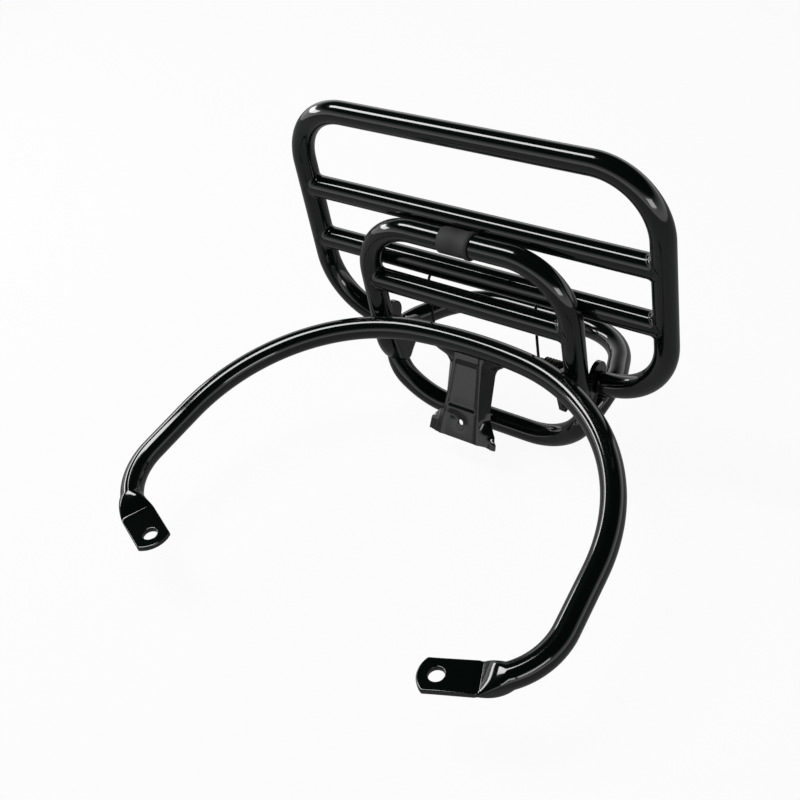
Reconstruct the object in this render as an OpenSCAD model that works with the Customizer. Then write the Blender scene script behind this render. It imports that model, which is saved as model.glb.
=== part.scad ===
/* [Tubes] */
// Outer diameter of every bent tube and crossbar
tube_d = 18; // [15:0.5:20]
// Radius of a weld bead
weld_r = 1.8; // [1:0.1:3]

/* [Horseshoe] */
// Bend radius of the nearly straight middle
shoe_mid_r = 414; // [300:1:600]
// Angle of the middle bend on each side
shoe_mid_a = 6.8; // [4:0.1:10]
// Bend radius of the large side bends
shoe_side_r = 154; // [140:1:165]
// Angle of the large side bends
shoe_side_a = 78.4; // [74:0.1:82]
// Straight length of each arm
shoe_arm = 44; // [30:1:70]
// Bend radius of the inturned ends
shoe_end_r = 53; // [45:1:60]
// Angle of the inturned ends
shoe_end_a = 70.8; // [60:0.1:80]
// Slope of the horseshoe, rising to the rear
shoe_slope = 10; // [6:0.5:14]
// Distance of the horseshoe's middle in front of the hinge
shoe_front = 22.8; // [21:0.1:26]
// Height of the horseshoe's middle above the hinge
shoe_rise = 21.7; // [20:0.1:26]

/* [End plates] */
// Thickness of the flattened tube end
eye_t = 4; // [3:0.5:6]
// Width of the flattened tube end
eye_w = 26; // [22:1:30]
// Distance from the crease to the bolt hole
eye_reach = 29; // [24:1:36]
// Radius of the rounded tip
eye_tip_r = 18.5; // [18:0.5:24]
// Diameter of the bolt hole
eye_hole_d = 11; // [8.5:0.5:13]
// Length over which the round tube turns flat
eye_blend = 18; // [12:1:22]
// How far the flattened end keeps its full width before the tip's curve
eye_seat = 12; // [11:0.5:16]

/* [Back hoop] */
// Distance of the back hoop in front of the hinge
hoop_front = 19.2; // [18.5:0.1:22]
// Height of the hoop's top bar above the hinge
hoop_top = 113.2; // [105:0.5:120]
// Straight length of the hoop's top bar
hoop_flat = 84; // [60:1:100]
// Corner radius of the hoop
hoop_corner = 48.5; // [40:0.5:55]
// How far the legs reach below the hinge
hoop_foot = 18; // [14:0.5:21]
// Height of the hoop's crossbar above the hinge
hoop_bar_z = 59; // [50:0.5:70]

/* [Rubber sleeve] */
// Length of the rubber sleeve
sleeve_len = 34; // [25:1:50]
// Thickness of the rubber sleeve
sleeve_t = 1.7; // [1:0.1:1.9]
// Width of the slot along the sleeve's underside
sleeve_slot = 4; // [2:0.5:8]
// Length of the end collar of the sleeve
sleeve_collar = 4; // [2:0.5:8]

/* [Support ring] */
// Distance of the ring's front bar in front of the hinge
ring_front = 14.4; // [13.5:0.1:18]
// Depth of the ring's front bar below the hinge
ring_drop = 62; // [60:0.5:66]
// Straight length of the ring's front bar
ring_front_flat = 76; // [60:1:90]
// Radius of the front corners
ring_front_r = 59.6; // [54:0.2:64]
// Length of each side between the corners
ring_side = 15.3; // [10:0.1:30]
// Angle at which the sides draw in towards the rear bar
ring_taper = 22; // [16:0.5:26]
// Radius of the rear corners
ring_back_r = 56.5; // [50:0.5:62]
// Height of the upright front part before the kink
ring_upright = 16.6; // [14:0.2:19]
// Bend radius of the kink
ring_kink_r = 30; // [26:0.5:34]
// Slope of the rear part, falling to the rear
ring_fall = 8; // [6:0.5:12]

/* [Tray] */
// Width of the tray between the middle lines of its sides
tray_w = 309.6; // [280:0.2:330]
// Radius of the upper corners
tray_top_r = 49.8; // [42:0.2:56]
// Straight length of the tray's sides
tray_side = 87.4; // [70:0.2:110]
// Radius of the lower corners
tray_low_r = 53.4; // [46:0.2:58]
// Height of the lower crossbar above the hinge
low_bar_z = 70.3; // [64:0.1:76]
// Height of the upper crossbar above the hinge
high_bar_z = 119; // [113:0.1:130]

/* [Hinge] */
// Diameter of the hinge bolts
bolt_d = 8; // [6:0.5:9]
// Radial clearance round the hinge bolts
bolt_gap = 0.05; // [0.02:0.01:0.1]
// Gap between the tray's tube ends and the hinge lugs
hinge_gap = 1; // [0.5:0.1:2]
// Thickness of the hinge lugs and gussets
lug_t = 4; // [3:0.5:5]
// Distance of the gussets from the middle
gusset_x = 74; // [70:0.5:77]
// Distance of the lugs' outer faces from the middle
lug_x = 98.5; // [96:0.5:101]
// Radius of the rounded lug ends
lug_r = 10; // [9:0.5:12]
// Height of the lug's rounded end above the hinge
lug_top = 8; // [4:0.5:10]
// How deep the bushings sit in the tray's tube ends
bush_len = 20; // [14:1:24]
// Wall of the bushings
bush_wall = 2; // [1.5:0.1:2.5]
// Width of the nuts across flats
nut_w = 13; // [11:0.5:15]
// Height of the nuts
nut_h = 5; // [4:0.5:6]

/* [Springs] */
// Wire diameter of the torsion springs
wire_d = 2.2; // [1.6:0.1:2.6]
// Turns of each spring
spring_turns = 6; // [4:1:7]
// Pitch of the turns
spring_pitch = 2.6; // [2.6:0.1:3]
// Distance of the springs' inner ends from the middle
spring_x = 49; // [47:0.5:51]
// Clearance between the coil and the bolt
spring_gap = 1; // [0.5:0.1:1.5]

/* [Bracket] */
// Sheet thickness of the bracket
sheet_t = 2.5; // [2:0.1:3.5]
// Length of the bracket down its slope
bracket_len = 70; // [64:1:76]
// Forward lean of the bracket
bracket_lean = 25; // [20:0.5:30]
// Half width of the bracket at its waist
bracket_half = 21; // [20:0.5:24]
// How far the bracket's ears and top flange stand out
bracket_flare = 9.5; // [6:0.5:12]
// Half width between the folds at the top
fold_top = 12; // [10:0.5:14]
// Half width between the folds at the bottom
fold_low = 17.5; // [15:0.5:18.5]
// Depth of the folded sides
fold_depth = 9; // [6:0.5:12]
// Distance of the small hole below the bracket's top
bracket_hole_at = 56; // [52:0.5:60]
// Diameter of the small hole
bracket_hole_d = 5; // [3:0.5:7]
// Depth of the pressed panel
panel_depth = 0.9; // [0.4:0.1:1.2]

/* [Hidden] */
$fn = 48;
tube_r = tube_d / 2;
bolt_r = bolt_d / 2;
// Turn of the path at the start of each straight and bend of the horseshoe
arm_a = shoe_mid_a + shoe_side_a;
eye_a = arm_a + shoe_end_a;
// Points along the horseshoe in its own plane, x outwards and y rearwards
mid_end = bend_end([0, 0], 0, shoe_mid_r, shoe_mid_a);
side_end = bend_end(mid_end, shoe_mid_a, shoe_side_r, shoe_side_a);
arm_end = side_end + shoe_arm * heading(arm_a);
crease = bend_end(arm_end, arm_a, shoe_end_r, shoe_end_a);
// The eye in the frame of the hinge, which sets where the hinge stands above and behind the eyes
crease_y = -shoe_front + crease[1] * cos(shoe_slope);
crease_z = shoe_rise + crease[1] * sin(shoe_slope);
eye_x = crease[0] + eye_reach * heading(eye_a)[0];
hinge_y = -(crease_y + eye_reach * heading(eye_a)[1]);
hinge_z = -crease_z + eye_t / 2;
blend_a = eye_blend / shoe_end_r * 180 / PI;
// Where the horseshoe's side arc passes a gusset, as the notch's centre in the plate's outline
side_centre = mid_end - shoe_side_r * [sin(shoe_mid_a), cos(shoe_mid_a)];
side_across = gusset_x + lug_t / 2 - side_centre[0];
side_y = side_centre[1] + sqrt(shoe_side_r * shoe_side_r - side_across * side_across);
gusset_notch = [-shoe_front + side_y * cos(shoe_slope), shoe_rise + side_y * sin(shoe_slope)];
// The tube ends square, half a millimetre past its last bend, where the flattening starts
blend_start = bend_end(arm_end, arm_a, shoe_end_r, shoe_end_a - blend_a) + 0.5 * heading(eye_a - blend_a);
hoop_half = hoop_flat / 2 + hoop_corner;
tray_half = tray_w / 2;
tray_end_x = lug_x + hinge_gap;
coil_r = bolt_r + spring_gap + wire_d / 2;
kink_a = 90 + ring_fall;
kink_len = ring_kink_r * kink_a * PI / 180;

// Direction of a path that has turned right by a degrees from +X
function heading(a) = [cos(a), -sin(a)];
// End of a right-hand bend of radius r and angle t that starts at p with turn a
function bend_end(p, a, r, t) = p + r * [sin(a + t) - sin(a), cos(a + t) - cos(a)];

// Half outline of the flat ring: straight, front corner, side, rear corner, rear middle
function ring_outline() = let(
    w = ring_front_flat / 2,
    a = 90 + ring_taper,
    c1 = [w + ring_front_r * sin(a), ring_front_r * (1 - cos(a))],
    c2 = c1 + ring_side * [cos(a), sin(a)],
    b = 180 - a,
    c3 = c2 + ring_back_r * [sin(a + b) - sin(a), cos(a) - cos(a + b)]
) concat(
    [for (i = [0:3]) [w * i / 4, 0]],
    [for (i = [0:12]) [w + ring_front_r * sin(a * i / 12), ring_front_r * (1 - cos(a * i / 12))]],
    [for (i = [1:2]) c1 + (c2 - c1) * i / 3],
    [for (i = [0:9]) c2 + ring_back_r * [sin(a + b * i / 9) - sin(a), cos(a) - cos(a + b * i / 9)]],
    [for (i = [1:3]) [c3[0] * (1 - i / 3), c3[1]]]
);

// Side profile of the kinked ring at developed length s: upright, bend, falling rear part
function kink(s) = let(
    t = min(max(s - ring_upright, 0), kink_len) / ring_kink_r * 180 / PI,
    over = max(s - ring_upright - kink_len, 0),
    up = min(s, ring_upright)
) [
    -ring_front + ring_kink_r * (1 - cos(t)) + over * sin(kink_a),
    -ring_drop + up + ring_kink_r * sin(t) + over * cos(kink_a)
];

function ring_half() = [for (p = ring_outline()) [p[0], kink(p[1])[0], kink(p[1])[1]]];

function ring_path() = let(h = ring_half(), n = len(h)) concat(
    h,
    [for (i = [n - 2:-1:1]) [-h[i][0], h[i][1], h[i][2]]]
);

// Rings of points swept round a path; each stands square to the path, up is its reference side
function sweep_rings(path, r, sides, closed, up) = let(n = len(path)) [
    for (i = [0:n - 1]) let(
        a = closed ? path[(i + n - 1) % n] : path[max(i - 1, 0)],
        b = closed ? path[(i + 1) % n] : path[min(i + 1, n - 1)],
        t = (b - a) / norm(b - a),
        u = cross(t, up) / norm(cross(t, up)),
        v = cross(u, t)
    ) [for (k = [0:sides - 1]) path[i] + r * (cos(360 * k / sides) * u + sin(360 * k / sides) * v)]
];

// Closed solid from rings of points with the same count
module loft(rings, closed) {
    n = len(rings);
    m = len(rings[0]);
    points = [for (ring = rings) for (p = ring) p];
    walls = [
        for (i = [0:(closed ? n - 1 : n - 2)]) for (k = [0:m - 1])
            for (half = [0:1]) let(
                j = (i + 1) % n,
                q = (k + 1) % m
            ) half == 0 ? [i * m + k, i * m + q, j * m + q] : [i * m + k, j * m + q, j * m + k]
    ];
    ends = closed ? [] : [[for (k = [m - 1:-1:0]) k], [for (k = [0:m - 1]) (n - 1) * m + k]];
    polyhedron(points = points, faces = concat(walls, ends));
}

module at_hinge() {
    translate([0, hinge_y, hinge_z]) children();
}

module both_sides() {
    children();
    mirror([1, 0, 0]) children();
}

// Tube that starts at the origin along +X; each step is [0, length] or [radius, angle] to the right
module tube_run(steps, i = 0) {
    if (i < len(steps)) {
        r = steps[i][0];
        s = steps[i][1];
        if (r == 0) {
            rotate([0, 90, 0]) cylinder(r = tube_r, h = s);
            translate([s, 0, 0]) tube_run(steps, i + 1);
        } else {
            translate([0, -r, 0]) rotate([0, 0, 90 - s]) rotate_extrude(angle = s, $fn = 96)
                translate([r, 0]) circle(r = tube_r);
            translate([r * sin(s), -r * (1 - cos(s)), 0]) rotate([0, 0, -s]) tube_run(steps, i + 1);
        }
    }
}

// Straight tube across the rack at a height above the hinge
module cross_tube(half, y, z) {
    translate([-half, y, z]) rotate([0, 90, 0]) cylinder(r = tube_r, h = 2 * half);
}

// Half of the horseshoe's middle line in its own plane, up to where the tube starts to turn flat
function shoe_half() = concat(
    [for (i = [0:3]) bend_end([0, 0], 0, shoe_mid_r, shoe_mid_a * i / 3)],
    [for (i = [1:16]) bend_end(mid_end, shoe_mid_a, shoe_side_r, shoe_side_a * i / 16)],
    [for (i = [0:8]) bend_end(arm_end, arm_a, shoe_end_r, (shoe_end_a - blend_a) * i / 8)],
    [blend_start]
);

function shoe_path() = let(h = shoe_half(), n = len(h)) concat(
    [for (i = [n - 1:-1:1]) [-h[i][0], h[i][1], 0]],
    [for (p = h) [p[0], p[1], 0]]
);

module shoe_place() {
    at_hinge() translate([0, -shoe_front, shoe_rise]) rotate([shoe_slope, 0, 0]) children();
}

module horseshoe() {
    color([0.03, 0.03, 0.03]) shoe_place() loft(sweep_rings(shoe_path(), tube_r, 20, false, [0, 0, 1]), false);
}

// The horseshoe's middle bend as a true arc, for notching what is welded to it
module shoe_mid_arc() {
    shoe_place() translate([0, -shoe_mid_r, 0]) rotate([0, 0, 90 - shoe_mid_a])
        rotate_extrude(angle = 2 * shoe_mid_a, $fn = 96) translate([shoe_mid_r, 0]) circle(r = tube_r);
}

// One side bend of the horseshoe as a true arc, for notching what is welded to it
module shoe_side_arc() {
    shoe_place() translate([mid_end[0], mid_end[1], 0]) rotate([0, 0, -shoe_mid_a])
        translate([0, -shoe_side_r, 0]) rotate([0, 0, 90 - shoe_side_a])
            rotate_extrude(angle = shoe_side_a, $fn = 96) translate([shoe_side_r, 0]) circle(r = tube_r);
}

module eye_place() {
    at_hinge() translate([crease[0], crease_y, crease_z]) rotate([0, 0, -eye_a]) children();
}

// Flattened tube end: the blend from round to flat, then the plate with its chamfered tip
module end_plate() {
    hull() {
        shoe_place() translate([blend_start[0], blend_start[1], 0]) rotate([0, 0, blend_a - eye_a])
            rotate([0, 90, 0]) cylinder(r = tube_r, h = 0.2, $fn = 32);
        eye_place() translate([0, 0.1 - eye_w / 2, 0.05 - eye_t / 2]) cube([eye_seat, eye_w - 0.2, eye_t - 0.1]);
    }
    eye_place() difference() {
        translate([0, 0, -eye_t / 2]) linear_extrude(eye_t) intersection() {
            translate([0, -eye_w / 2]) square([eye_reach + eye_w / 2, eye_w]);
            translate([eye_reach + eye_w / 2 - eye_tip_r, 0]) circle(r = eye_tip_r);
        }
        translate([eye_reach, 0, -eye_t]) cylinder(d = eye_hole_d, h = 2 * eye_t);
    }
}

module end_plate_left() {
    color([0.03, 0.03, 0.03]) mirror([1, 0, 0]) end_plate();
}

module end_plate_right() {
    color([0.03, 0.03, 0.03]) end_plate();
}

module hoop_tube() {
    at_hinge() translate([0, -hoop_front, hoop_top]) rotate([90, 0, 0]) both_sides() tube_run([
        [0, hoop_flat / 2],
        [hoop_corner, 90],
        [0, hoop_top - hoop_corner + hoop_foot]
    ]);
}

module back_hoop() {
    color([0.03, 0.03, 0.03]) difference() {
        hoop_tube();
        both_sides() shoe_side_arc();
    }
}

module hoop_crossbar() {
    color([0.03, 0.03, 0.03]) difference() {
        at_hinge() cross_tube(hoop_half, -hoop_front, hoop_bar_z);
        hoop_tube();
    }
}

// C-shaped sleeve with a collar at one end, slotted along its underside
module rubber_sleeve() {
    color([0.15, 0.15, 0.15]) at_hinge() translate([0, -hoop_front, hoop_top]) difference() {
        union() {
            translate([-sleeve_len / 2, 0, 0]) rotate([0, 90, 0])
                cylinder(r = tube_r + sleeve_t * 0.8, h = sleeve_len);
            translate([sleeve_len / 2 - sleeve_collar, 0, 0]) rotate([0, 90, 0])
                cylinder(r = tube_r + sleeve_t, h = sleeve_collar);
        }
        translate([-sleeve_len, 0, 0]) rotate([0, 90, 0]) cylinder(r = tube_r, h = 2 * sleeve_len);
        translate([-sleeve_len, -sleeve_slot / 2, -2 * tube_r]) cube([2 * sleeve_len, sleeve_slot, 2 * tube_r]);
    }
}

module support_ring() {
    color([0.03, 0.03, 0.03]) at_hinge()
        loft(sweep_rings(ring_path(), tube_r, 20, true, [0, 0.6, 0.8]), true);
}

// Sheet section of the bracket at one station down its slope: folds, edges and thickness
function sheet_ring(s) = let(x = s[1], e = s[2], d = s[3], t = sheet_t) [
    [-e, -s[0], d], [-x, -s[0], 0], [x, -s[0], 0], [e, -s[0], d],
    [e, -s[0], d - t * 1.2], [x, -s[0], -t], [-x, -s[0], -t], [-e, -s[0], d - t * 1.2]
];

// Stations down the bracket: distance, fold half width, edge half width, edge depth
function bracket_stations() = let(
    w = bracket_half,
    l = bracket_len,
    f = bracket_flare,
    folds = function(s) fold_top + (fold_low - fold_top) * s / l
) [
    [0, folds(0), w + f, -fold_depth * 0.2],
    [3, folds(3), w + f * 0.7, -fold_depth * 0.4],
    [7, folds(7), w + f * 0.25, -fold_depth * 0.8],
    [12, folds(12), w, -fold_depth],
    [l * 0.62, folds(l * 0.62), w, -fold_depth],
    [l * 0.72, folds(l * 0.72), w + f * 0.15, -fold_depth],
    [l * 0.79, folds(l * 0.79), w + f * 0.55, -fold_depth * 0.75],
    [l * 0.86, folds(l * 0.86), w + f, -fold_depth * 0.45],
    [l, folds(l), w + f, -fold_depth * 0.3]
];

module bracket() {
    color([0.06, 0.06, 0.06]) difference() {
        at_hinge() translate([0, -shoe_front - tube_r * 0.75, shoe_rise - tube_r * 0.75])
            rotate([90 - bracket_lean, 0, 0]) difference() {
                loft([for (s = bracket_stations()) sheet_ring(s)], false);
                translate([0, -bracket_hole_at, -2 * sheet_t]) cylinder(d = bracket_hole_d, h = 3 * sheet_t);
                translate([-fold_top + 1, -bracket_len * 0.62, -panel_depth])
                    cube([2 * fold_top - 2, bracket_len * 0.42, 2 * panel_depth]);
            }
        shoe_mid_arc();
    }
}

// Flat plate square to X: a slice from x outwards by t
module side_plate(x, t) {
    translate([x, 0, 0]) rotate([90, 0, 90]) linear_extrude(t) children();
}

// Plate from a notch on the horseshoe, round the bolt, down to the ring's front bar
module gusset() {
    notch = [for (i = [0:5]) gusset_notch + (tube_r - 0.4) * [cos(11 * i - 60), sin(11 * i - 60)]];
    round_end = [for (i = [0:8]) (lug_r - 1) * [cos(65 - 9 * i), sin(65 - 9 * i)]];
    foot_z = -ring_drop + 2 * tube_r;
    foot = [[-ring_front + tube_r, foot_z], [-ring_front - tube_r, foot_z]];
    at_hinge() side_plate(gusset_x, lug_t) difference() {
        polygon(concat(notch, round_end, foot));
        circle(r = bolt_r + bolt_gap);
    }
}

module gusset_left() {
    color([0.04, 0.04, 0.04]) mirror([1, 0, 0]) gusset();
}

module gusset_right() {
    color([0.04, 0.04, 0.04]) gusset();
}

// Lug behind a hoop leg: a rounded plate that the hinge bolt passes through
module hinge_lug() {
    difference() {
        at_hinge() side_plate(lug_x - lug_t, lug_t) difference() {
            union() {
                translate([0, lug_top]) circle(r = lug_r);
                translate([-hoop_front, -hoop_foot + 2]) square([hoop_front + lug_r - 2, hoop_foot + lug_top]);
            }
            circle(r = bolt_r + bolt_gap);
        }
        hoop_tube();
    }
}

module hinge_lug_left() {
    color([0.04, 0.04, 0.04]) mirror([1, 0, 0]) hinge_lug();
}

module hinge_lug_right() {
    color([0.04, 0.04, 0.04]) hinge_lug();
}

// Bolt from its low head inside the coil, through gusset and lug, into the tray's bushing
module hinge_bolt() {
    head = 2;
    start = spring_x - wire_d - head;
    at_hinge() rotate([0, 90, 0]) {
        translate([0, 0, start]) cylinder(r = bolt_r + 1, h = head);
        translate([0, 0, start + head]) cylinder(r = bolt_r, h = tray_end_x + bush_len - 2 - start - head);
    }
}

module hinge_bolt_left() {
    color([0.2, 0.2, 0.2]) mirror([1, 0, 0]) hinge_bolt();
}

module hinge_bolt_right() {
    color([0.2, 0.2, 0.2]) hinge_bolt();
}

// Hexagon nut against the outer face of the gusset
module hinge_nut() {
    at_hinge() translate([gusset_x + lug_t, 0, 0]) rotate([0, 90, 0]) difference() {
        cylinder(d = nut_w / cos(30), h = nut_h, $fn = 6);
        translate([0, 0, -1]) cylinder(r = bolt_r + bolt_gap, h = nut_h + 2);
    }
}

module hinge_nut_left() {
    color([0.2, 0.2, 0.2]) mirror([1, 0, 0]) hinge_nut();
}

module hinge_nut_right() {
    color([0.2, 0.2, 0.2]) hinge_nut();
}

// Wire path of a torsion spring: long leg from the lower crossbar, coil, short leg onto the horseshoe
function spring_path() = let(
    c = coil_r,
    top = low_bar_z - tube_r - wire_d,
    steps = 12 * spring_turns + 8
) concat(
    [[spring_x, tube_r + wire_d, top + tube_r], [spring_x, tube_r + wire_d, top + 1]],
    [[spring_x, tube_r + wire_d / 2, top - 1], [spring_x, 0, top - 1]],
    [[spring_x, -2, top - 3], [spring_x, -c * 0.8, top / 2]],
    [for (i = [0:steps]) [
        spring_x + spring_pitch * i / 12, -c * cos(30 * i), -c * sin(30 * i)
    ]],
    [[spring_x + spring_pitch * steps / 12, -shoe_front + tube_r, shoe_rise - 2]]
);

module spring() {
    at_hinge() loft(sweep_rings(spring_path(), wire_d / 2, 8, false, [1, 0.02, 0.01]), false);
}

module spring_left() {
    color([0.1, 0.1, 0.1]) mirror([1, 0, 0]) spring();
}

module spring_right() {
    color([0.1, 0.1, 0.1]) spring();
}

// Ring-shaped weld bead round a tube end that points along X
module weld_ring(x, y, z) {
    translate([x, y, z]) rotate([0, 90, 0]) rotate_extrude() translate([tube_r, 0]) circle(r = weld_r);
}

module frame_welds() {
    color([0.03, 0.03, 0.03]) both_sides() at_hinge()
        weld_ring(hoop_half - tube_r - weld_r * 0.4, -hoop_front, hoop_bar_z);
}

module tray_tube() {
    at_hinge() translate([0, 0, tray_top_r + tray_side + tray_low_r]) rotate([90, 0, 0]) both_sides() tube_run([
        [0, tray_half - tray_top_r],
        [tray_top_r, 90],
        [0, tray_side],
        [tray_low_r, 90],
        [0, tray_half - tray_low_r - tray_end_x]
    ]);
}

module tray_frame() {
    color([0.03, 0.03, 0.03]) difference() {
        tray_tube();
        at_hinge() both_sides() translate([tray_end_x - 1, 0, 0]) rotate([0, 90, 0])
            cylinder(r = bolt_r + bolt_gap + bush_wall, h = bush_len + 1);
    }
}

module tray_bar_lower() {
    color([0.03, 0.03, 0.03]) difference() {
        at_hinge() cross_tube(tray_half, 0, low_bar_z);
        tray_tube();
    }
}

module tray_bar_upper() {
    color([0.03, 0.03, 0.03]) difference() {
        at_hinge() cross_tube(tray_half, 0, high_bar_z);
        tray_tube();
    }
}

module bushing() {
    at_hinge() translate([tray_end_x, 0, 0]) rotate([0, 90, 0]) difference() {
        cylinder(r = bolt_r + bolt_gap + bush_wall, h = bush_len);
        translate([0, 0, -1]) cylinder(r = bolt_r + bolt_gap, h = bush_len + 2);
    }
}

module bushing_left() {
    color([0.12, 0.12, 0.12]) mirror([1, 0, 0]) bushing();
}

module bushing_right() {
    color([0.12, 0.12, 0.12]) bushing();
}

module tray_welds() {
    color([0.03, 0.03, 0.03]) both_sides() at_hinge() {
        weld_ring(tray_half - tube_r - weld_r * 0.4, 0, low_bar_z);
        weld_ring(tray_half - tube_r - weld_r * 0.4, 0, high_bar_z);
    }
}

horseshoe();
end_plate_left();
end_plate_right();
back_hoop();
hoop_crossbar();
rubber_sleeve();
support_ring();
bracket();
gusset_left();
gusset_right();
hinge_lug_left();
hinge_lug_right();
hinge_bolt_left();
hinge_bolt_right();
hinge_nut_left();
hinge_nut_right();
spring_left();
spring_right();
frame_welds();
tray_frame();
tray_bar_lower();
tray_bar_upper();
bushing_left();
bushing_right();
tray_welds();
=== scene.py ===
import math

import bmesh
import bpy
import numpy as np
from mathutils import Matrix


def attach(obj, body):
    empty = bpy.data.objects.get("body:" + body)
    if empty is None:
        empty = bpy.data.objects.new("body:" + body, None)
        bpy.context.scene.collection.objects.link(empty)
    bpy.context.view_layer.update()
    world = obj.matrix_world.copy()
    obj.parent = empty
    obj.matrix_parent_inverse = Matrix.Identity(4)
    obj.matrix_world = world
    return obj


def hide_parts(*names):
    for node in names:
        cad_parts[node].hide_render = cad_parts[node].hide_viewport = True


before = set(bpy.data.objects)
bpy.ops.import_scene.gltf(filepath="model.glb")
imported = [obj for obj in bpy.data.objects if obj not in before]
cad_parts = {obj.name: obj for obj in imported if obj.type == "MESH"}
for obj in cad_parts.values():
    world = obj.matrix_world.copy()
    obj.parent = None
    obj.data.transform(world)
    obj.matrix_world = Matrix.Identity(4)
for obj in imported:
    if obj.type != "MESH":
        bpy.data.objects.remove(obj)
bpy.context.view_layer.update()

print("frame loaded, nodes:", len(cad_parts))

# Lengths are millimetres here, and become metres when a mesh is made; the hinge's place is the joint's
hinge = {"y": 270.596, "z": 21.913}
tubeRadius = 9.0
barInset = 3.0
sweepStep = 3.0
pathStep = 0.25
# How far each side of a station the path's direction is taken
tangentReach = 0.6
# Radius of a ring that closes a tube's end, small enough for its points to be joined
pointRadius = 0.001
weldedPointsMetres = 0.000002


# Straights and right-hand bends laid end to end in a plane, as points a quarter millimetre apart
def runPath(steps, start=(0.0, 0.0), turn=0.0):
    x, y = start
    parts = []
    for radius, amount in steps:
        if radius == 0:
            s = np.linspace(0, amount, max(3, int(amount / pathStep)))
            part = np.stack([x + s * math.cos(turn), y - s * math.sin(turn)], 1)
        else:
            angle = math.radians(amount)
            t = turn + np.linspace(0, angle, max(3, int(radius * angle / pathStep)))
            part = np.stack([x + radius * (np.sin(t) - math.sin(turn)),
                             y + radius * (np.cos(t) - math.cos(turn))], 1)
            turn += angle
        parts.append(part[:-1])
        x, y = part[-1]
    parts.append(np.array([[x, y]]))
    return np.concatenate(parts), turn


# A half path that starts in the middle, joined to its mirror image
def mirrored(half):
    return np.concatenate([half[:0:-1] * [-1, 1, 1], half])


# Vectors divided by their own lengths
def unit(vectors):
    return vectors / np.linalg.norm(vectors, axis=-1, keepdims=True)


# Length from the path's start to each point: the running sum of the steps
def pathLength(path):
    return np.concatenate([[0.0], np.cumsum(np.linalg.norm(np.diff(path, axis=0), axis=1))])


# Rings square to a path: centre + a * across + b * up, where (a, b) are the ring's section points
def sweep(path, stations, sections, reference):
    along = pathLength(path)

    # Points of the path at lengths s
    def at(s):
        return np.stack([np.interp(s, along, path[:, k]) for k in range(3)], -1)

    ahead = unit(at(stations + tangentReach) - at(stations - tangentReach))
    across = unit(np.cross(ahead, reference))
    up = np.cross(across, ahead)
    return at(stations)[:, None] + sections[..., :1] * across[:, None] + sections[..., 1:] * up[:, None]


# Circles of the given radii as section points
def rounds(radii, sides=40):
    a = np.linspace(0, 2 * np.pi, sides, endpoint=False)
    return np.asarray(radii, float)[:, None, None] * np.stack([np.cos(a), np.sin(a)], -1)[None]


# Stations and radii of a plain tube with closed, slightly rounded ends
def tubeStations(length, radius=tubeRadius, edge=0.5, count=0):
    middle = np.linspace(edge, length - edge, count or max(2, int(length / sweepStep)))
    s = np.concatenate([[0, 0], middle, [length, length]])
    r = np.concatenate([[pointRadius, radius - edge], np.full(len(middle), radius),
                        [radius - edge, pointRadius]])
    return s, r


# Plain tube along a path
def tube(path, reference, radius=tubeRadius, sides=40):
    s, r = tubeStations(pathLength(path)[-1], radius)
    return sweep(path, s, rounds(r, sides), reference)


# Faces of a grid that is closed round its second direction, and along the first one where asked
def gridFaces(rows, columns, closed):
    i = np.arange(rows if closed else rows - 1)[:, None]
    j = np.arange(columns)[None]
    corners = [i * columns + j, i * columns + (j + 1) % columns,
               (i + 1) % rows * columns + (j + 1) % columns, (i + 1) % rows * columns + j]
    return np.stack(np.broadcast_arrays(*corners), -1).reshape(-1, 4)


# One mesh object from several grids of points in millimetres, each with its closed flag
def surface(name, grids, material, smooth=True):
    points, faces, count = [], [], 0
    for grid, closed in grids:
        points.append(grid.reshape(-1, 3) / 1000)
        faces.append(gridFaces(grid.shape[0], grid.shape[1], closed) + count)
        count += grid.shape[0] * grid.shape[1]
    return meshObject(name, np.concatenate(points), np.concatenate(faces), material, smooth)


# Object from points in metres and faces, with doubled points joined and all faces turned outwards
def meshObject(name, points, faces, material, smooth=True):
    mesh = bpy.data.meshes.new(name)
    mesh.from_pydata(points.tolist(), [], faces.tolist())
    work = bmesh.new()
    work.from_mesh(mesh)
    bmesh.ops.remove_doubles(work, verts=work.verts, dist=weldedPointsMetres)
    bmesh.ops.recalc_face_normals(work, faces=work.faces)
    work.to_mesh(mesh)
    work.free()
    mesh.polygons.foreach_set("use_smooth", np.full(len(mesh.polygons), smooth))
    mesh.materials.append(material)
    piece = bpy.data.objects.new(name, mesh)
    bpy.context.collection.objects.link(piece)
    return piece


# sRGB hex colour to the linear values that a shader takes
def linear(code):
    values = [int(code[i:i + 2], 16) / 255 for i in (1, 3, 5)]
    return [v / 12.92 if v <= 0.04045 else ((v + 0.055) / 1.055) ** 2.4 for v in values] + [1.0]


# Adds a node, sets its inputs and properties, and links other nodes' outputs into it
def addNode(tree, kind, settings=None, **inputs):
    node = tree.nodes.new(kind)
    for key, value in (settings or {}).items():
        setattr(node, key, value)
    for key, value in inputs.items():
        socket = node.inputs[key.replace("_", " ")]
        if isinstance(value, bpy.types.NodeSocket):
            tree.links.new(value, socket)
        else:
            socket.default_value = value
    return node


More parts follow.
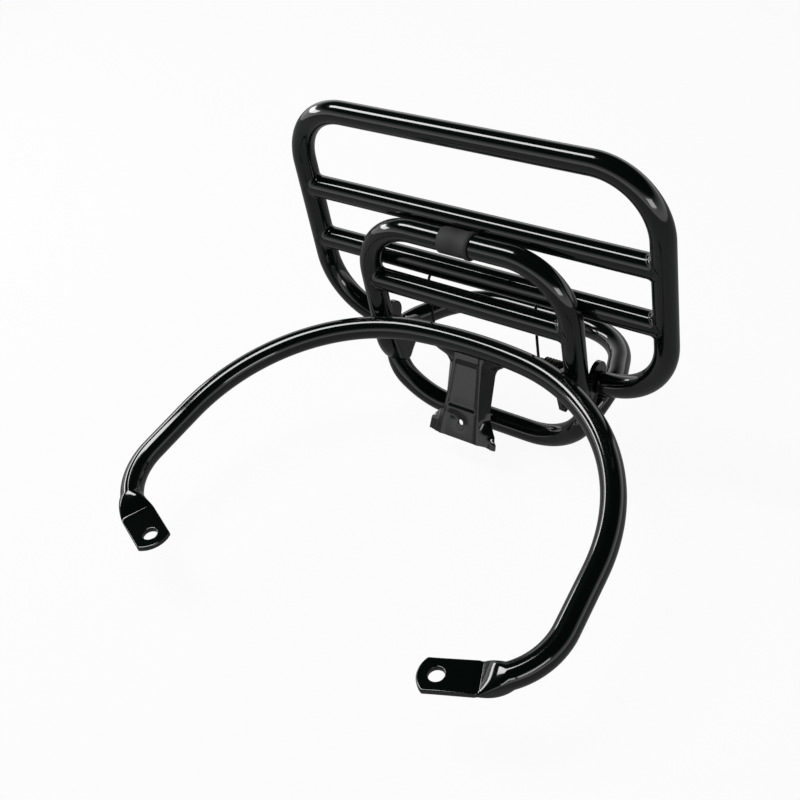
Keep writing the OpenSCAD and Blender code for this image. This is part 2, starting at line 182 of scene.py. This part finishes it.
# A surface finish: a shade pattern for the colour, a fine one for the bump, a broad one for the gloss
def finish(name, look):
    material = bpy.data.materials.new(name)
    material.use_nodes = True
    tree = material.node_tree
    shader = tree.nodes["Principled BSDF"]
    place = addNode(tree, "ShaderNodeTexCoord").outputs["Object"]
    perMetre = 1000 / look["patchMm"]
    patch = addNode(tree, "ShaderNodeTexNoise", Vector=place, Scale=perMetre, Detail=3.0)
    shade = addNode(tree, "ShaderNodeMix", {"data_type": "RGBA"}, Factor=patch.outputs[0])
    shade.inputs[6].default_value = linear(look["dark"])
    shade.inputs[7].default_value = linear(look["light"])
    tree.links.new(shade.outputs[2], shader.inputs["Base Color"])
    gloss = addNode(tree, "ShaderNodeMapRange", Value=patch.outputs[0])
    gloss.inputs["To Min"].default_value = look["roughness"] - look["glossSpread"]
    gloss.inputs["To Max"].default_value = look["roughness"] + look["glossSpread"]
    tree.links.new(gloss.outputs[0], shader.inputs["Roughness"])
    grain = addNode(tree, "ShaderNodeTexNoise", Vector=place, Scale=1000 / look["grainMm"], Detail=2.0)
    bump = addNode(tree, "ShaderNodeBump", Height=grain.outputs[0], Strength=look["bump"])
    bump.inputs["Distance"].default_value = look["bumpMm"] / 1000
    tree.links.new(bump.outputs[0], shader.inputs["Normal"])
    shader.inputs["Metallic"].default_value = look["metallic"]
    if "ior" in look:
        shader.inputs["IOR"].default_value = look["ior"]
    if "coat" in look:
        shader.inputs["Coat Weight"].default_value = look["coat"]
        shader.inputs["Coat Roughness"].default_value = look["coatRoughness"]
    return material


# Stoved gloss enamel on steel tube: deep black, sharp streaks, a faint orange peel 5 mm across
glossEnamel = finish("glossEnamel", {
    "dark": "#040907", "light": "#090f0c", "patchMm": 40, "roughness": 0.1, "glossSpread": 0.03,
    "grainMm": 5.0, "bump": 0.12, "bumpMm": 0.02, "metallic": 0.0, "ior": 1.5,
    "coat": 0.5, "coatRoughness": 0.04})
# The same enamel on pressed sheet, whose rougher skin blurs the streaks a little
pressedEnamel = finish("pressedEnamel", {
    "dark": "#060908", "light": "#0c100f", "patchMm": 18, "roughness": 0.14, "glossSpread": 0.04,
    "grainMm": 4.0, "bump": 0.2, "bumpMm": 0.03, "metallic": 0.0, "ior": 1.5,
    "coat": 0.4, "coatRoughness": 0.1})
# Moulded natural rubber: matte charcoal, fine pores half a millimetre apart
mouldedRubber = finish("mouldedRubber", {
    "dark": "#1b1d1c", "light": "#2a2c2a", "patchMm": 6, "roughness": 0.7, "glossSpread": 0.1,
    "grainMm": 0.5, "bump": 0.5, "bumpMm": 0.08, "metallic": 0.0, "ior": 1.52})
# Oil-blacked spring steel wire: dark metal with a drawn, slightly patchy skin
springWire = finish("springWire", {
    "dark": "#2c2a28", "light": "#4a4744", "patchMm": 5, "roughness": 0.3, "glossSpread": 0.08,
    "grainMm": 0.8, "bump": 0.3, "bumpMm": 0.02, "metallic": 1.0})
# Blackened zinc on small fasteners: grey-brown metal that still catches a bright glint
blackZinc = finish("blackZinc", {
    "dark": "#4b4844", "light": "#77736d", "patchMm": 4, "roughness": 0.28, "glossSpread": 0.08,
    "grainMm": 0.6, "bump": 0.3, "bumpMm": 0.02, "metallic": 1.0})
print("materials made")

# Horseshoe tube with its flattened ends; a bend is its radius and its angle in degrees
shoe = {"front": 22.8, "rise": 21.7, "slope": 10.0, "mid": (414.0, 6.8), "side": (154.0, 78.4),
        "arm": 44.0, "end": (53.0, 70.8), "blend": 18.0, "eyeHalf": 13.0, "eyeThick": 4.0,
        "eyeReach": 29.0, "tipRadius": 18.5, "holeRadius": 5.5, "into": 4.0,
        "squareness": 3.5, "inset": 0.1, "tipFrom": -0.35}
slope = math.radians(shoe["slope"])
half, eyeTurn = runPath([shoe["mid"], shoe["side"], (0, shoe["arm"]), shoe["end"]])


# A point of the sloping plane in the part's frame
def onSlope(p):
    return np.stack([p[:, 0], hinge["y"] - shoe["front"] + p[:, 1] * math.cos(slope),
                     hinge["z"] + shoe["rise"] + p[:, 1] * math.sin(slope)], 1)


halfPath = onSlope(half)
crease = halfPath[-1]
eyeAhead = np.array([math.cos(eyeTurn), -math.sin(eyeTurn), 0.0])
tail = crease + np.linspace(0.25, shoe["into"], 12)[:, None] * eyeAhead
shoePath = mirrored(np.concatenate([halfPath, tail]))
shoeLength = pathLength(shoePath)[-1]
tubeEnd = shoe["into"] + shoe["blend"]


# Superellipse |x / wide|^n + |y / thick|^n = 1 that turns from a circle into a flat bar as the blend
# goes from 0 to 1; it stays a little inside the eye's plate
def flattened(blend, sides=64):
    a = np.linspace(0, 2 * np.pi, sides, endpoint=False)[None]
    power = 2 / (2 + shoe["squareness"] * blend[:, None])
    wide = tubeRadius + (shoe["eyeHalf"] - shoe["inset"] - tubeRadius) * blend[:, None]
    thick = tubeRadius + ((shoe["eyeThick"] - shoe["inset"]) / 2 - tubeRadius) * blend[:, None] ** 2
    return np.stack([wide * np.sign(np.cos(a)) * np.abs(np.cos(a)) ** power,
                     thick * np.sign(np.sin(a)) * np.abs(np.sin(a)) ** power], -1)


ends = np.linspace(0, tubeEnd, 30)
middle = np.linspace(tubeEnd, shoeLength - tubeEnd, 240)[1:-1]
stations = np.concatenate([ends, middle, shoeLength - ends[::-1]])
fromEnd = np.minimum(stations, shoeLength - stations)
blend = np.clip((tubeEnd - fromEnd) / shoe["blend"], 0, 1)
level = np.array([0.0, 0.0, 1.0])
tilted = np.array([0.0, -math.sin(slope), math.cos(slope)])
reference = unit(tilted + (level - tilted) * blend[:, None])
sections = flattened(blend)
# Both ends close to a point
sections[0] *= pointRadius
sections[-1] *= pointRadius
shoeGrid = sweep(shoePath, stations, sections, reference)


# Flat eye: a closed profile of hole edge, top face, rounded rim and underside, carried round the hole
def eyeGrid(side):
    a = np.linspace(0, 2 * np.pi, 96, endpoint=False)
    c, s = np.cos(a), np.sin(a)
    w, tip, back = shoe["eyeHalf"], shoe["tipRadius"], shoe["eyeReach"]
    tiny, never = 1e-6, 1e9
    toSide = w / np.maximum(np.abs(s), tiny)
    toBack = np.where(c < 0, back / np.maximum(-c, tiny), never)
    offset = w - tip  # the tip's centre, measured from the hole
    toTip = offset * c + np.sqrt(tip ** 2 - (offset * s) ** 2)
    reach = np.minimum(np.minimum(toSide, toBack), np.where(c > shoe["tipFrom"], toTip, never))
    h, r = shoe["eyeThick"] / 2, shoe["holeRadius"]
    # Each point: share of the way from hole to rim, extra distance, height
    profile = [(0, 0, h - 0.7), (0, 0.2, h - 0.2), (0, 0.7, h), (0, 1.3, h), (0.5, 0, h), (1, -1.6, h),
               (1, -0.9, h), (1, -0.3, h - 0.3), (1, 0, h - 0.9), (1, 0, 0.9 - h), (1, -0.3, 0.3 - h),
               (1, -0.9, -h), (1, -1.6, -h), (0.5, 0, -h), (0, 1.3, -h), (0, 0.7, -h), (0, 0.2, 0.2 - h),
               (0, 0, 0.7 - h)]
    share, extra, z = np.array(profile).T
    distance = r + (reach[:, None] - r) * share[None] + extra[None]
    hole = crease + back * eyeAhead
    left = np.array([-eyeAhead[1], eyeAhead[0], 0.0])
    grid = (hole + (distance * c[:, None])[..., None] * eyeAhead
            + (distance * s[:, None])[..., None] * left + z[None, :, None] * level)
    return grid * np.array([side, 1, 1])


mountTube = surface("mountTube", [(shoeGrid, False), (eyeGrid(1), True), (eyeGrid(-1), True)],
                    glossEnamel)
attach(mountTube, "frame")
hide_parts("horseshoe", "end_plate_left", "end_plate_right")
print("horseshoe made")

# Back hoop with its crossbar
hoop = {"front": 19.2, "top": 113.2, "flat": 84.0, "corner": 48.5, "footZ": 26.0,
        "footLean": (2.9, 11.9, 0.0), "bar": 59.0}
hoopY = hinge["y"] - hoop["front"]
hoopHalf = hoop["flat"] / 2 + hoop["corner"]


# A plane path stood upright at a depth, with its start at a height above the hinge
def upright(path, y, top):
    return np.stack([path[:, 0], np.full(len(path), y), hinge["z"] + top + path[:, 1]], 1)


hoopRun, _ = runPath([(0, hoop["flat"] / 2), (hoop["corner"], 90),
                      (0, hoop["top"] - hoop["corner"] + hoop["footZ"])])
depth = np.array([0.0, 1.0, 0.0])
hoopLine = upright(hoopRun, hoopY, hoop["top"])
# The feet lean back into the ring, by the square of the depth below the hinge
lean = np.clip((hinge["z"] - hoopLine[:, 2]) / hoop["footZ"], 0, 1) ** 2
hoopLine += lean[:, None] * np.array(hoop["footLean"])
hoopGrid = tube(mirrored(hoopLine), depth)


# Straight tube across the rack whose ends sit inside the tubes that it joins
def crossbar(halfLength, y, height):
    reach = halfLength - barInset
    x = np.linspace(-reach, reach, 400)
    return tube(np.stack([x, np.full(400, y), np.full(400, hinge["z"] + height)], 1), depth)


backHoop = surface("backHoop", [(hoopGrid, False)], glossEnamel)
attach(backHoop, "frame")
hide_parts("back_hoop")
hoopBar = surface("hoopBar", [(crossbar(hoopHalf, hoopY, hoop["bar"]), False)], glossEnamel)
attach(hoopBar, "frame")
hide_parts("hoop_crossbar")
print("hoop made")

# Support ring: a flat loop kinked into an upright front and a rear part that falls away
ring = {"front": 14.4, "drop": 62.0, "flat": 76.0, "frontR": 59.6, "side": 15.3, "taper": 22.0,
        "backR": 56.5, "upright": 16.6, "kinkR": 30.0, "fall": 8.0}
firstBend = 90 + ring["taper"]
outline, _ = runPath([(0, ring["flat"] / 2), (ring["frontR"], firstBend), (0, ring["side"]),
                      (ring["backR"], 180 - firstBend)])
backStraight = np.linspace(outline[-1, 0], 0, 200)[1:]
backBar = np.stack([backStraight, np.full(199, -outline[-1, 1])], 1)
flatHalf = np.concatenate([outline * [1, -1], backBar])
kinkAngle = math.radians(90 + ring["fall"])
kinkLength = ring["kinkR"] * kinkAngle


# Side profile at developed length s: straight up, round the kink, straight down the fall
def kinked(p):
    s = p[:, 1]
    t = np.clip(s - ring["upright"], 0, kinkLength) / ring["kinkR"]
    over = np.maximum(s - ring["upright"] - kinkLength, 0)
    y = -ring["front"] + ring["kinkR"] * (1 - np.cos(t)) + over * math.sin(kinkAngle)
    z = (-ring["drop"] + np.minimum(s, ring["upright"]) + ring["kinkR"] * np.sin(t)
         + over * math.cos(kinkAngle))
    return np.stack([p[:, 0], hinge["y"] + y, hinge["z"] + z], 1)


ringHalf = kinked(flatHalf)
ringPath = np.concatenate([ringHalf, (ringHalf * [-1, 1, 1])[-2::-1]])
# Runs on past the seam both ways
ringPath = np.concatenate([ringPath[-6:-1], ringPath, ringPath[1:6]])
ringLength = pathLength(ringPath)
ringStations = np.linspace(ringLength[5], ringLength[-6], 260)[:-1]
ringGrid = sweep(ringPath, ringStations, rounds(np.full(259, tubeRadius)), np.array([0, 0.6, 0.8]))
supportRing = surface("supportRing", [(ringGrid, True)], glossEnamel)
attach(supportRing, "frame")
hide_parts("support_ring")
print("ring made")

# Folding tray: its bent loop, whose ends stand at the hinge, and two crossbars
tray = {"flat": 210.0, "topR": 49.8, "side": 87.4, "lowR": 53.4, "low": 70.3, "high": 119.0,
        "endX": 99.5}
trayHalf = tray["flat"] / 2 + tray["topR"]
trayTop = tray["topR"] + tray["side"] + tray["lowR"]
trayRun, _ = runPath([(0, tray["flat"] / 2), (tray["topR"], 90), (0, tray["side"]), (tray["lowR"], 90),
                      (0, trayHalf - tray["lowR"] - tray["endX"])])
trayPath = mirrored(upright(trayRun, hinge["y"], trayTop))
trayStations, trayRadii = tubeStations(pathLength(trayPath)[-1], count=250)
trayGrid = sweep(trayPath, trayStations, rounds(trayRadii), depth)
trayLoop = surface("trayLoop", [(trayGrid, False)], glossEnamel)
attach(trayLoop, "tray")
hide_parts("tray_frame", "bushing_left", "bushing_right")
for name, node, height in (("trayBarLow", "tray_bar_lower", tray["low"]),
                           ("trayBarHigh", "tray_bar_upper", tray["high"])):
    bar = surface(name, [(crossbar(trayHalf, hinge["y"], height), False)], glossEnamel)
    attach(bar, "tray")
    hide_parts(node)
print("tray made")

# Weld fillets at the crossbars' ends
weld = {"size": 4.2, "thin": 0.7, "sunk": 0.8, "ripple": 0.05, "rippleMm": 1.7}


# Hollow quarter-round fillet about a crossbar's end, tall along the upright tube and thin across it;
# its height has the small steps that the torch leaves, 1 + ripple * sin(length round the bar)
def fillet(side, halfLength, y, height):
    a = np.linspace(0, 2 * np.pi, 72, endpoint=False)[None]
    q = np.linspace(0, np.pi / 2, 9)[:, None]
    grow = np.concatenate([1 - np.sin(q), [[-0.25]], [[-0.25]]])
    out = np.concatenate([weld["size"] * (1 - np.cos(q)), [[weld["size"]]], [[-1.0]]])
    ripple = 1 + weld["ripple"] * np.sin(a * 2 * np.pi * tubeRadius / weld["rippleMm"])
    z = (tubeRadius + weld["size"] * grow * ripple) * np.cos(a)
    across = (tubeRadius + weld["thin"] * grow) * np.sin(a)
    start = np.sqrt(np.maximum(tubeRadius ** 2 - (tubeRadius * np.sin(a)) ** 2, 0)) - weld["sunk"]
    x = side * (halfLength - start - out) + 0 * z
    return np.stack([x, y + across + 0 * x, hinge["z"] + height + z], -1)


trayWelds = [(fillet(side, trayHalf, hinge["y"], height), True)
             for side in (-1, 1) for height in (tray["low"], tray["high"])]
trayWeld = surface("trayWeld", trayWelds, glossEnamel)
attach(trayWeld, "tray")
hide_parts("tray_welds")
frameWelds = [(fillet(side, hoopHalf, hoopY, hoop["bar"]), True) for side in (-1, 1)]
frameWeld = surface("frameWeld", frameWelds, glossEnamel)
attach(frameWeld, "frame")
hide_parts("frame_welds")
print("welds made")

# Rubber sleeve on the hoop's top bar, with a collar at one end and a slot along its underside
sleeve = {"length": 27.0, "wall": 1.2, "collarWall": 1.7, "collar": 3.5, "slot": 4.0}


# Lathe profile along the bar, bent round it but for the slot underneath
def sleeveGrid():
    h, r = sleeve["length"] / 2, tubeRadius
    body, rim = r + sleeve["wall"], r + sleeve["collarWall"]
    profile = [(-h, r), (-h, body - 0.5), (-h + 0.5, body), (0, body),
               (h - sleeve["collar"] - 0.4, body), (h - sleeve["collar"], rim), (h - 0.6, rim),
               (h, rim - 0.5), (h, r), (0, r - 0.05)]
    x, radius = np.array(profile).T
    gap = math.asin(sleeve["slot"] / 2 / r)
    a = np.linspace(-np.pi / 2 + gap, 3 * np.pi / 2 - gap, 90)[:, None]
    a = np.concatenate([a[:1], a, a[-1:]])
    r2 = np.concatenate([np.full((1, len(x)), r), np.tile(radius, (90, 1)), np.full((1, len(x)), r)])
    return np.stack([x[None] + 0 * r2, hoopY + r2 * np.cos(a),
                     hinge["z"] + hoop["top"] + r2 * np.sin(a)], -1)


rubberSleeve = surface("rubberSleeve", [(sleeveGrid(), False)], mouldedRubber)
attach(rubberSleeve, "frame")
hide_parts("rubber_sleeve")
print("sleeve made")

# Torsion springs: hook at the tray's lower crossbar, long leg, coil round the bolt, short leg
spring = {"wire": 1.1, "x": 49.0, "pitch": 2.6, "turns": 6, "partTurn": 8 / 12, "coil": 6.1,
          "hookY": 11.2, "sides": 12}


# Middle line of the wire, seen from the hinge: leg with its hook from corner to corner, then the helix
# (x + pitch * turns, -coil * cos, -coil * sin), then the straight short leg onto the horseshoe
def springPath():
    c, w, x = spring["coil"], 2 * spring["wire"], spring["x"]
    top = tray["low"] - tubeRadius - w
    turn = np.linspace(0, 2 * np.pi * (spring["turns"] + spring["partTurn"]), 700)
    coil = np.stack([x + spring["pitch"] * turn / (2 * np.pi), -c * np.cos(turn), -c * np.sin(turn)], 1)
    hookY = spring["hookY"]
    corners = np.array([[x, hookY, top + 9], [x, hookY, top + 1], [x, hookY - w / 2, top - 1],
                        [x, 0, top - 1], [x, -2, top - 3], [x, -c * 0.8, top / 2], [x, -c, 6],
                        [x, -c, 0.5]])
    t = np.linspace(0, 1, 200)
    near = pathLength(corners)
    leg = np.stack([np.interp(t * near[-1], near, corners[:, k]) for k in range(3)], 1)
    last = coil[-1]
    foot = np.array([last[0], -shoe["front"] + tubeRadius, shoe["rise"] - 2])
    out = last + np.linspace(0.02, 1, 40)[:, None] * (foot - last)
    path = np.concatenate([leg, coil, out])
    for _ in range(12):  # rounds the corners of the legs
        path[1:-1] = (path[:-2] + 2 * path[1:-1] + path[2:]) / 4
    return path + [0, hinge["y"], hinge["z"]]


wirePath = springPath()
wireLength = pathLength(wirePath)[-1]
wireStations = np.concatenate([[0], np.linspace(0, wireLength, 420), [wireLength]])
wireRadii = np.concatenate([[pointRadius], np.full(420, spring["wire"]), [pointRadius]])
wireGrid = sweep(wirePath, wireStations, rounds(wireRadii, spring["sides"]), np.array([1, 0.02, 0.01]))
for side, name in ((1, "right"), (-1, "left")):
    piece = surface("spring_" + name + "Wire", [(wireGrid * [side, 1, 1], False)], springWire)
    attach(piece, "frame")
    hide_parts("spring_" + name)
print("springs made")

# Pressed bracket: a sheet with two ridges, a sunk panel, folded sides, flared ears and a hook;
# edge and edgeDepth are half width and depth of the sheet's edge at the distances s down its slope,
# and seat is the share of the tube's radius at which the sheet starts below the tube's middle
bracket = {"lean": 25.0, "length": 70.0, "thick": 2.5, "holeAt": 56.0, "holeRadius": 2.5,
           "s": (0, 3, 7, 12, 43, 50, 55, 60, 70), "foldTop": 12.0, "foldLow": 17.5,
           "edge": (34.0, 30.0, 24.0, 21.5, 21.0, 22.4, 26.0, 30.0, 30.5),
           "edgeDepth": (-1.8, -3.6, -7.2, -9.0, -9.0, -8.6, -6.8, -4.6, -3.6),
           "panel": (7.0, 44.0), "panelDepth": 1.0, "panelInside": (-3.4, -1.6),
           "ridge": 0.6, "ridgeWide": 1.6, "flareOut": 4.5, "flareWide": 1.5, "flareRise": (34, 46),
           "flareRun": (38, 70), "dimple": 0.6, "dimpleWide": 4.2, "dent": (-7, 51.5),
           "hookX": (24, 31), "hookS": (61.5, 64.5), "hookOut": 3.5, "hookLift": 4.5, "seat": 0.75}


# Smooth step from 0 to 1 between two values
def ease(x, low, high):
    t = np.clip((x - low) / (high - low), 0, 1)
    return t * t * (3 - 2 * t)


# Sheet as a height over its slope: folds are straight lines in u that a small filter rounds; ridges and
# dimples are bell curves exp(-(distance / width)^2)
def bracketGrid():
    u = np.linspace(-1, 1, 97)[None]
    v = np.linspace(0, 1, 111)[:, None]
    s = bracket["length"] * v
    fold = bracket["foldTop"] + (bracket["foldLow"] - bracket["foldTop"]) * v
    edge = np.interp(s, bracket["s"], bracket["edge"])
    depth = np.interp(s, bracket["s"], bracket["edgeDepth"])
    out = np.clip(np.abs(u) * 2 - 1, 0, 1)
    x = np.sign(u) * (np.minimum(np.abs(u) * 2, 1) * fold + out * (edge - fold))
    z = depth * out + bracket["ridge"] * np.exp(-((np.abs(x) - fold) / bracket["ridgeWide"]) ** 2)
    inside = 1 - ease(np.abs(x) - fold, *bracket["panelInside"])
    low, high = bracket["panel"]
    within = ease(s, low - 1.5, low + 1.5) * (1 - ease(s, high - 1.2, high + 1.2))
    z = z - bracket["panelDepth"] * inside * within
    flareAway = x + fold + bracket["flareOut"] * ease(s, *bracket["flareRun"])
    leftFlare = np.exp(-(flareAway / bracket["flareWide"]) ** 2) * ease(s, *bracket["flareRise"])
    z = z + bracket["ridge"] * leftFlare
    near = np.hypot(x, s - bracket["holeAt"])
    z = z - bracket["dimple"] * np.exp(-(near / bracket["dimpleWide"]) ** 2)
    dentX, dentS = bracket["dent"]
    z = z - np.exp(-((x - dentX) ** 2 / 14 + (s - dentS) ** 2 / 6))
    hook = ease(x, *bracket["hookX"]) * ease(s, *bracket["hookS"])
    x = x + bracket["hookOut"] * hook
    z = z + bracket["hookLift"] * hook - 1.5 * ease(x, 30, 34) * hook
    grid = np.stack(np.broadcast_arrays(x, s, z), -1)
    for _ in range(3):  # rounds the folds by about a millimetre
        grid[:, 1:-1] = (grid[:, :-2] + 2 * grid[:, 1:-1] + grid[:, 2:]) / 4
        grid[1:-1] = (grid[:-2] + 2 * grid[1:-1] + grid[2:]) / 4
    normal = unit(np.cross(np.gradient(grid, axis=1), np.gradient(grid, axis=0)))
    normal *= np.sign(normal[..., 2:] + 1e-9)
    back = grid - bracket["thick"] * normal
    skin = np.concatenate([grid, back[:, ::-1]], 1)
    mid = np.concatenate([(grid + back) / 2, ((grid + back) / 2)[:, ::-1]], 1)
    skin = np.concatenate([mid[:1], skin, mid[-1:]])
    tilt = math.radians(90 - bracket["lean"])
    downhill = -np.array([0, math.cos(tilt), math.sin(tilt)])
    outward = np.array([0, -math.sin(tilt), math.cos(tilt)])
    seat = tubeRadius * bracket["seat"]
    start = np.array([0, hinge["y"] - shoe["front"] - seat, hinge["z"] + shoe["rise"] - seat])
    place = start + skin[..., :1] * np.eye(3)[0] + skin[..., 1:2] * downhill + skin[..., 2:] * outward
    return place, start + bracket["holeAt"] * downhill, outward


# Edges that turn by more degrees than this are shaded sharp
sharpFrom = 35


# Cuts a round hole through a piece along a direction, and keeps the cut in its mesh
def drill(piece, centre, direction, radius, length):
    line = centre + np.linspace(-length / 2, length / 2, 5)[:, None] * direction
    s = np.array([0, 0, length, length])
    rod = rounds([pointRadius, radius, radius, pointRadius], 48)
    cutter = surface("cutter", [(sweep(line, s, rod, np.eye(3)[0]), False)], pressedEnamel, False)
    cut = piece.modifiers.new("hole", "BOOLEAN")
    cut.object, cut.operation, cut.solver = cutter, "DIFFERENCE", "EXACT"
    cut.use_self = True  # without this the hole can stay closed, as it does with a wider top flange
    result = bpy.data.meshes.new_from_object(piece.evaluated_get(bpy.context.evaluated_depsgraph_get()))
    piece.modifiers.clear()
    result.set_sharp_from_angle(angle=math.radians(sharpFrom))
    piece.data = result
    bpy.data.objects.remove(cutter)


bracketPoints, holeCentre, holeWay = bracketGrid()
bracketPlate = surface("bracketPlate", [(bracketPoints, False)], pressedEnamel)
drill(bracketPlate, holeCentre, holeWay, bracket["holeRadius"], 16.0)
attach(bracketPlate, "frame")
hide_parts("bracket")
print("bracket made")

# Gussets between the horseshoe and the hinge bolt, tapering to a short foot
gusset = {"x": 74.0, "thick": 4.0, "notch": (-31.3, 20.2), "notchR": 8.6, "boltR": 9.0,
          "foot": ((-9.0, -19.0), (-13.0, -23.0), (-19.0, -23.0), (-23.0, -18.0)), "bevel": 0.4}


# Plate from an outline of notch arc, bolt arc and foot, with a small bevel all round
def gussetGrid(side):
    a, b = np.radians(np.linspace(-60, -5, 8)), np.radians(np.linspace(65, -45, 14))
    notch = np.array(gusset["notch"]) + gusset["notchR"] * np.stack([np.cos(a), np.sin(a)], 1)
    bolt = gusset["boltR"] * np.stack([np.cos(b), np.sin(b)], 1)
    edge = np.concatenate([notch, bolt, np.array(gusset["foot"])])
    middle = edge.mean(0)
    rows = []
    thick, bevel = gusset["thick"], gusset["bevel"]
    for x, grow in ((0, 0), (0, 0.96), (bevel, 1), (thick - bevel, 1), (thick, 0.96), (thick, 0)):
        p = middle + (edge - middle) * max(grow, 0.0001)
        rows.append(np.column_stack([np.full(len(p), side * (gusset["x"] + x)), hinge["y"] + p[:, 0],
                                     hinge["z"] + p[:, 1]]))
    return np.array(rows)


for side, name in ((1, "right"), (-1, "left")):
    piece = surface("gusset_" + name + "Plate", [(gussetGrid(side), False)], pressedEnamel, False)
    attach(piece, "frame")
    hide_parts("gusset_" + name)
print("gussets made")

# CAD nodes that keep their shape and take a finish
kept = {"hinge_lug_left": glossEnamel, "hinge_lug_right": glossEnamel,
        "hinge_bolt_left": blackZinc, "hinge_bolt_right": blackZinc,
        "hinge_nut_left": blackZinc, "hinge_nut_right": blackZinc}
for name, material in kept.items():
    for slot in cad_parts[name].material_slots:
        slot.material = material
print("kept nodes finished")

# Studio in metres: a white floor just below the part, a pale surround that darkens overhead, and strip
# lights for the streaks; mirrored is the floor's brightness in reflections, floorMix its glow's share
studio = {"floorZ": -0.0496, "floorSize": 12.0, "floorMix": 0.94, "mirrored": 0.2,
          "low": "#ffffff", "high": "#141d19", "paleBelow": 0.12, "darkAbove": 0.5}
corners = np.array([[-1, -1, 0], [1, -1, 0], [1, 1, 0], [-1, 1, 0]])
floorPoints = corners * studio["floorSize"] / 2 + [0, 0, studio["floorZ"]]
floorPaper = bpy.data.materials.new("floorPaper")
floorPaper.use_nodes = True
tree = floorPaper.node_tree
paper = tree.nodes["Principled BSDF"]
paper.inputs["Base Color"].default_value = linear("#f4f4f4")
paper.inputs["Roughness"].default_value = 0.8
rays = addNode(tree, "ShaderNodeLightPath")
seen = addNode(tree, "ShaderNodeMath", {"operation": "MAXIMUM"})
tree.links.new(rays.outputs["Is Camera Ray"], seen.inputs[0])
tree.links.new(rays.outputs["Is Glossy Ray"], seen.inputs[1])
clear = addNode(tree, "ShaderNodeMath", {"operation": "MAXIMUM"})
tree.links.new(seen.outputs[0], clear.inputs[0])
tree.links.new(rays.outputs["Is Transmission Ray"], clear.inputs[1])
share = addNode(tree, "ShaderNodeMath", {"operation": "MULTIPLY"})
tree.links.new(clear.outputs[0], share.inputs[0])
share.inputs[1].default_value = studio["floorMix"]
direct = addNode(tree, "ShaderNodeMapRange", Value=rays.outputs["Is Glossy Ray"], To_Min=1.0,
                 To_Max=studio["mirrored"])
glow = addNode(tree, "ShaderNodeEmission", Color=(1, 1, 1, 1), Strength=direct.outputs[0])
mix = addNode(tree, "ShaderNodeMixShader", Fac=share.outputs[0])
tree.links.new(paper.outputs[0], mix.inputs[1])
tree.links.new(glow.outputs[0], mix.inputs[2])
tree.links.new(mix.outputs[0], tree.nodes["Material Output"].inputs["Surface"])
floor = meshObject("studioFloor", floorPoints, np.array([[0, 1, 2, 3]]), floorPaper, False)

world = bpy.data.worlds.new("studio")
bpy.context.scene.world = world
world.use_nodes = True
tree = world.node_tree
toward = addNode(tree, "ShaderNodeTexCoord").outputs["Generated"]
height = addNode(tree, "ShaderNodeSeparateXYZ", Vector=toward).outputs["Z"]
rise = addNode(tree, "ShaderNodeMapRange", Value=height, From_Min=studio["paleBelow"],
               From_Max=studio["darkAbove"])
sky = addNode(tree, "ShaderNodeMix", {"data_type": "RGBA"}, Factor=rise.outputs[0])
sky.inputs[6].default_value = linear(studio["low"])
sky.inputs[7].default_value = linear(studio["high"])
tree.links.new(sky.outputs[2], tree.nodes["Background"].inputs["Color"])
tree.nodes["Background"].inputs["Strength"].default_value = 1.0

# Each strip: place, the point it faces, the way its long side runs, its two sides and its power
strips = {"overhead": ((-0.62, 0.12, 1.2), (0.0, 0.25, 0.15), (1, 0, 0), 0.8, 0.3, 8.0),
          "leftSide": ((-1.3, 0.1, 0.55), (0.0, 0.25, 0.1), (0, 1, 0), 1.0, 0.2, 5.0),
          "rightFront": ((1.1, -0.5, 0.55), (0.0, 0.2, 0.08), (0, 1, 0), 0.7, 0.25, 2.5)}
for name, (place, facing, along, wide, tall, power) in strips.items():
    lamp = bpy.data.lights.new(name, "AREA")
    lamp.shape = "RECTANGLE"
    lamp.size, lamp.size_y, lamp.energy = wide, tall, power
    strip = bpy.data.objects.new(name, lamp)
    back = unit(np.array(place) - np.array(facing))
    side = unit(along - back * np.dot(along, back))  # the long side's way, made square to back
    strip.matrix_world = Matrix(np.vstack([np.column_stack([side, np.cross(back, side), back, place]),
                                           [0, 0, 0, 1]]).tolist())
    bpy.context.collection.objects.link(strip)

# Camera at the photograph's place, from the fit of the tubes' outlines
view = {"fromHinge": (0.470732, -0.599718, 0.602010), "yaw": 0.769872, "pitch": 0.695938,
        "roll": 0.220068, "focalPixels": 1215.657, "imagePixels": 800, "sensorMm": 36.0}
viewPlace = np.array(view["fromHinge"]) + [0, hinge["y"] / 1000, hinge["z"] / 1000]
yaw, pitch, roll = view["yaw"], view["pitch"], view["roll"]
ahead = np.array([-math.sin(yaw) * math.cos(pitch), math.cos(yaw) * math.cos(pitch), -math.sin(pitch)])
right = np.array([math.cos(yaw), math.sin(yaw), 0.0])
down = np.cross(ahead, right)
imageRight = math.cos(roll) * right + math.sin(roll) * down
imageDown = -math.sin(roll) * right + math.cos(roll) * down
lens = bpy.data.cameras.new("photoCamera")
lens.sensor_width = view["sensorMm"]
lens.lens = view["focalPixels"] / view["imagePixels"] * view["sensorMm"]
lens.clip_start = 0.01
camera = bpy.data.objects.new("photoCamera", lens)
camera.matrix_world = Matrix(np.vstack([np.column_stack([imageRight, -imageDown, -ahead, viewPlace]),
                                        [0, 0, 0, 1]]).tolist())
bpy.context.collection.objects.link(camera)
bpy.context.scene.camera = camera
bpy.context.scene.view_settings.view_transform = "Standard"
print("studio and camera set")
